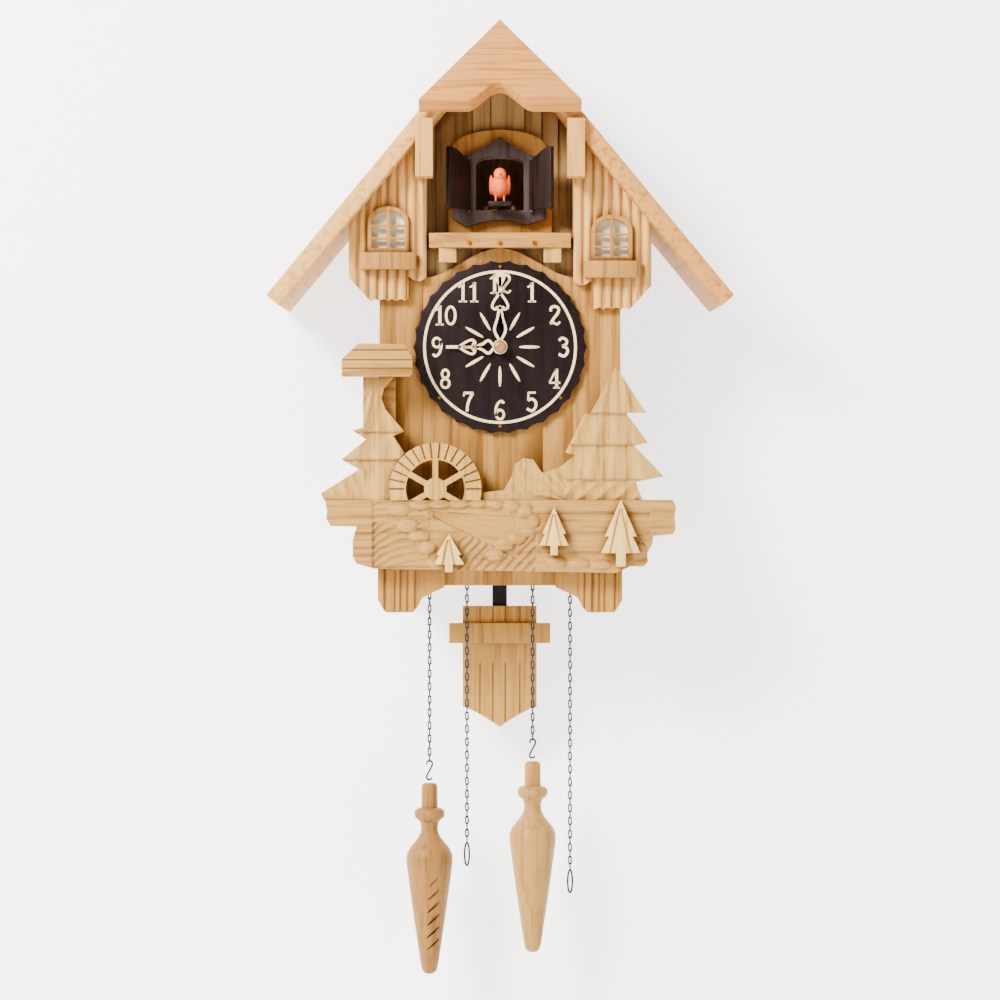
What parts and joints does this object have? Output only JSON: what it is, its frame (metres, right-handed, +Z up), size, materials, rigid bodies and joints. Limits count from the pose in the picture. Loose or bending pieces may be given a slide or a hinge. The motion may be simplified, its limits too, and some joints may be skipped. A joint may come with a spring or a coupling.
{
  "type": "cuckoo clock",
  "caption": "Wall-hung carved cuckoo clock in the shape of a chalet, with opening bird doors, two chain-hung turned weights, a swinging pendulum, two wheel trains and a wire gong.",
  "frame": {"origin": "centre of the hanging hole at the back face, where the wall hook goes", "axes": "+Z up, +Y into the wall, dial faces -Y, +X to the viewer's right"},
  "size_m": [0.335, 0.15, 0.7],
  "materials": {
    "case_wood": "satin, planed softwood",
    "cover_wood": "bare board",
    "steel": "zinc plated",
    "brass": "satin brass",
    "recess_wood": "grey-beige planks, waxed",
    "face_wood": "waxed planks with light seams",
    "roof_light": "waxed pale wood",
    "roof_warm": "waxed pale wood",
    "hip_wood": "waxed wood, darker at the ridge",
    "trim_wood": "stained light brown",
    "dormer_wood": "fluted, waxed",
    "surround_wood": "dark grey-brown stain",
    "dial_wood": "dark brown stain",
    "ivory": "cream, satin",
    "carved_wood": "hand carved, matt",
    "door_dark": "almost black paint inside",
    "bird_orange": "orange paint",
    "black_wire": "blackened steel",
    "rod_black": "black stain",
    "turned_wood": "turned and waxed",
    "gong_steel": "blued wire",
    "pipe_wood": "bare wood"
  },
  "bodies": {
    "case": {"case_shell": "case_wood", "back_cover": "cover_wood", "hanger_plate": "steel", "screws_and_nails": "brass", "upper_wall": "recess_wood", "face_board": "face_wood", "roof_left": "roof_light", "roof_right": "roof_warm", "hip_board": "hip_wood", "brackets": "trim_wood", "dormer_left": "dormer_wood", "dormer_right": "dormer_wood", "windows": "trim_wood", "door_backboard": "face_wood", "door_surround": "surround_wood", "balcony_shelf": "trim_wood", "dial_plate": "dial_wood", "dial_markings": "ivory", "spacer_blocks": "trim_wood", "carved_base": "carved_wood", "tree_left": "carved_wood", "post_cap": "carved_wood", "mill_wheel": "carved_wood", "trees_right": "carved_wood", "small_trees": "carved_wood", "corner_planks": "face_wood", "movement_plates": "brass", "movement_pillars": "brass", "gong": "gong_steel", "pipe_boxes": "pipe_wood", "bird_rail": "pipe_wood"},
    "door_left": {"door_left": "door_dark"},
    "door_right": {"door_right": "door_dark"},
    "bird_slide_body": {"bird_perch": "door_dark"},
    "bird": {"bird": "bird_orange"},
    "minute": {"centre_wheel": "brass", "minute_hand": "ivory"},
    "hour": {"hour_wheel": "brass", "hour_hand": "ivory"},
    "motion_wheel": {"minute_wheel": "brass"},
    "third": {"third_wheel": "brass"},
    "escape": {"escape_wheel": "brass"},
    "time_great": {"time_great_wheel": "brass"},
    "strike_great": {"strike_great_wheel": "brass"},
    "strike_second": {"strike_second_wheel": "brass"},
    "fly": {"fly": "steel"},
    "verge": {"verge": "steel"},
    "pendulum": {"pendulum_rod": "rod_black"},
    "bob": {"pendulum_bob": "turned_wood"},
    "time_chain_wheel": {"time_chain_wheel": "brass"},
    "strike_chain_wheel": {"strike_chain_wheel": "brass"},
    "time_weight": {"time_chain": "black_wire", "time_weight": "turned_wood"},
    "time_ring": {"time_pull_chain": "black_wire"},
    "strike_weight": {"strike_chain": "black_wire", "strike_weight": "turned_wood"},
    "strike_ring": {"strike_pull_chain": "black_wire"},
    "hammer": {"gong_hammer": "steel"},
    "bellows_left": {"bellows_left": "pipe_wood"},
    "bellows_right": {"bellows_right": "pipe_wood"}
  },
  "joints": [
    {"name": "bird_slide", "type": "slide", "parent": "case", "child": "bird_slide_body", "axis": [0, 1, 0], "range_m": [0, 0.04]},
    {"name": "bird_bow", "type": "hinge", "parent": "bird_slide_body", "child": "bird", "pos_m": [0, -0.099, -0.0202], "axis": [1, 0, 0], "range_deg": [0, 14]},
    {"name": "door_left_hinge", "type": "hinge", "parent": "case", "child": "door_left", "pos_m": [-0.023, -0.094, 0], "axis": [0, 0, 1], "range_deg": [0, 130]},
    {"name": "door_right_hinge", "type": "hinge", "parent": "case", "child": "door_right", "pos_m": [0.023, -0.094, 0], "axis": [0, 0, -1], "range_deg": [0, 130]},
    {"name": "minute_spin", "type": "hinge", "parent": "case", "child": "minute", "pos_m": [0, -0.11, -0.126], "axis": [0, 1, 0], "continuous": true},
    {"name": "hour_spin", "type": "hinge", "parent": "case", "child": "hour", "pos_m": [0, -0.105, -0.126], "axis": [0, 1, 0], "continuous": true},
    {"name": "motion_spin", "type": "hinge", "parent": "case", "child": "motion_wheel", "pos_m": [0, -0.088, -0.138], "axis": [0, 1, 0], "continuous": true},
    {"name": "third_spin", "type": "hinge", "parent": "case", "child": "third", "pos_m": [0.009, -0.06, -0.11041], "axis": [0, 1, 0], "continuous": true},
    {"name": "escape_spin", "type": "hinge", "parent": "case", "child": "escape", "pos_m": [0, -0.041, -0.10075], "axis": [0, 1, 0], "continuous": true},
    {"name": "time_great_spin", "type": "hinge", "parent": "case", "child": "time_great", "pos_m": [0.038, -0.065, -0.133], "axis": [0, 1, 0], "continuous": true},
    {"name": "strike_great_spin", "type": "hinge", "parent": "case", "child": "strike_great", "pos_m": [-0.038, -0.065, -0.133], "axis": [0, 1, 0], "continuous": true},
    {"name": "strike_second_spin", "type": "hinge", "parent": "case", "child": "strike_second", "pos_m": [-0.0323, -0.072, -0.1007], "axis": [0, 1, 0], "continuous": true},
    {"name": "fly_spin", "type": "hinge", "parent": "case", "child": "fly", "pos_m": [-0.04323, -0.055, -0.08768], "axis": [0, 1, 0], "continuous": true},
    {"name": "pendulum_swing", "type": "hinge", "parent": "case", "child": "pendulum", "pos_m": [0, -0.028, -0.104], "axis": [0, 1, 0], "range_deg": [-4, 4]},
    {"name": "verge_rock", "type": "hinge", "parent": "case", "child": "verge", "pos_m": [0, -0.041, -0.08805], "axis": [0, 1, 0], "range_deg": [-3, 3]},
    {"name": "bob_slide", "type": "slide", "parent": "pendulum", "child": "bob", "axis": [0, 0, 1], "range_m": [-0.008, 0.008]},
    {"name": "time_weight_slide", "type": "slide", "parent": "case", "child": "time_weight", "axis": [0, 0, 1], "range_m": [-0.15, 0.11]},
    {"name": "time_ring_slide", "type": "slide", "parent": "case", "child": "time_ring", "axis": [0, 0, -1], "range_m": [-0.15, 0.11]},
    {"name": "time_chain_wheel_spin", "type": "hinge", "parent": "case", "child": "time_chain_wheel", "pos_m": [0.038, -0.057, -0.133], "axis": [0, 1, 0], "range_deg": [-640, 470]},
    {"name": "strike_weight_slide", "type": "slide", "parent": "case", "child": "strike_weight", "axis": [0, 0, 1], "range_m": [-0.15, 0.11]},
    {"name": "strike_ring_slide", "type": "slide", "parent": "case", "child": "strike_ring", "axis": [0, 0, -1], "range_m": [-0.15, 0.11]},
    {"name": "strike_chain_wheel_spin", "type": "hinge", "parent": "case", "child": "strike_chain_wheel", "pos_m": [-0.038, -0.057, -0.133], "axis": [0, 1, 0], "range_deg": [-640, 640]},
    {"name": "hammer_swing", "type": "hinge", "parent": "case", "child": "hammer", "pos_m": [-0.045, -0.024, -0.163], "axis": [0, 1, 0], "range_deg": [-1.5, 12]},
    {"name": "bellows_left_lift", "type": "hinge", "parent": "case", "child": "bellows_left", "pos_m": [-0.06, -0.014, -0.016], "axis": [-1, 0, 0], "range_deg": [0, 11]},
    {"name": "bellows_right_lift", "type": "hinge", "parent": "case", "child": "bellows_right", "pos_m": [0.06, -0.014, -0.016], "axis": [-1, 0, 0], "range_deg": [0, 11]}
  ],
  "couplings": [
    {"joint": "door_left_hinge", "follows": "bird_slide", "rad_per_m": 56.723},
    {"joint": "door_right_hinge", "follows": "bird_slide", "rad_per_m": 56.723},
    {"joint": "hour_spin", "follows": "minute_spin", "ratio": 0.083333},
    {"joint": "motion_spin", "follows": "minute_spin", "ratio": -0.33333},
    {"joint": "third_spin", "follows": "minute_spin", "ratio": -9},
    {"joint": "escape_spin", "follows": "minute_spin", "ratio": 90},
    {"joint": "time_great_spin", "follows": "minute_spin", "ratio": -0.16667},
    {"joint": "strike_second_spin", "follows": "strike_great_spin", "ratio": -7.2},
    {"joint": "fly_spin", "follows": "strike_great_spin", "ratio": 54},
    {"joint": "verge_rock", "follows": "pendulum_swing", "ratio": 0.6},
    {"joint": "time_ring_slide", "follows": "time_weight_slide", "ratio": 1},
    {"joint": "strike_ring_slide", "follows": "strike_weight_slide", "ratio": 1},
    {"joint": "time_chain_wheel_spin", "follows": "time_weight_slide", "rad_per_m": 72.464},
    {"joint": "strike_chain_wheel_spin", "follows": "strike_weight_slide", "rad_per_m": -72.464}
  ]
}
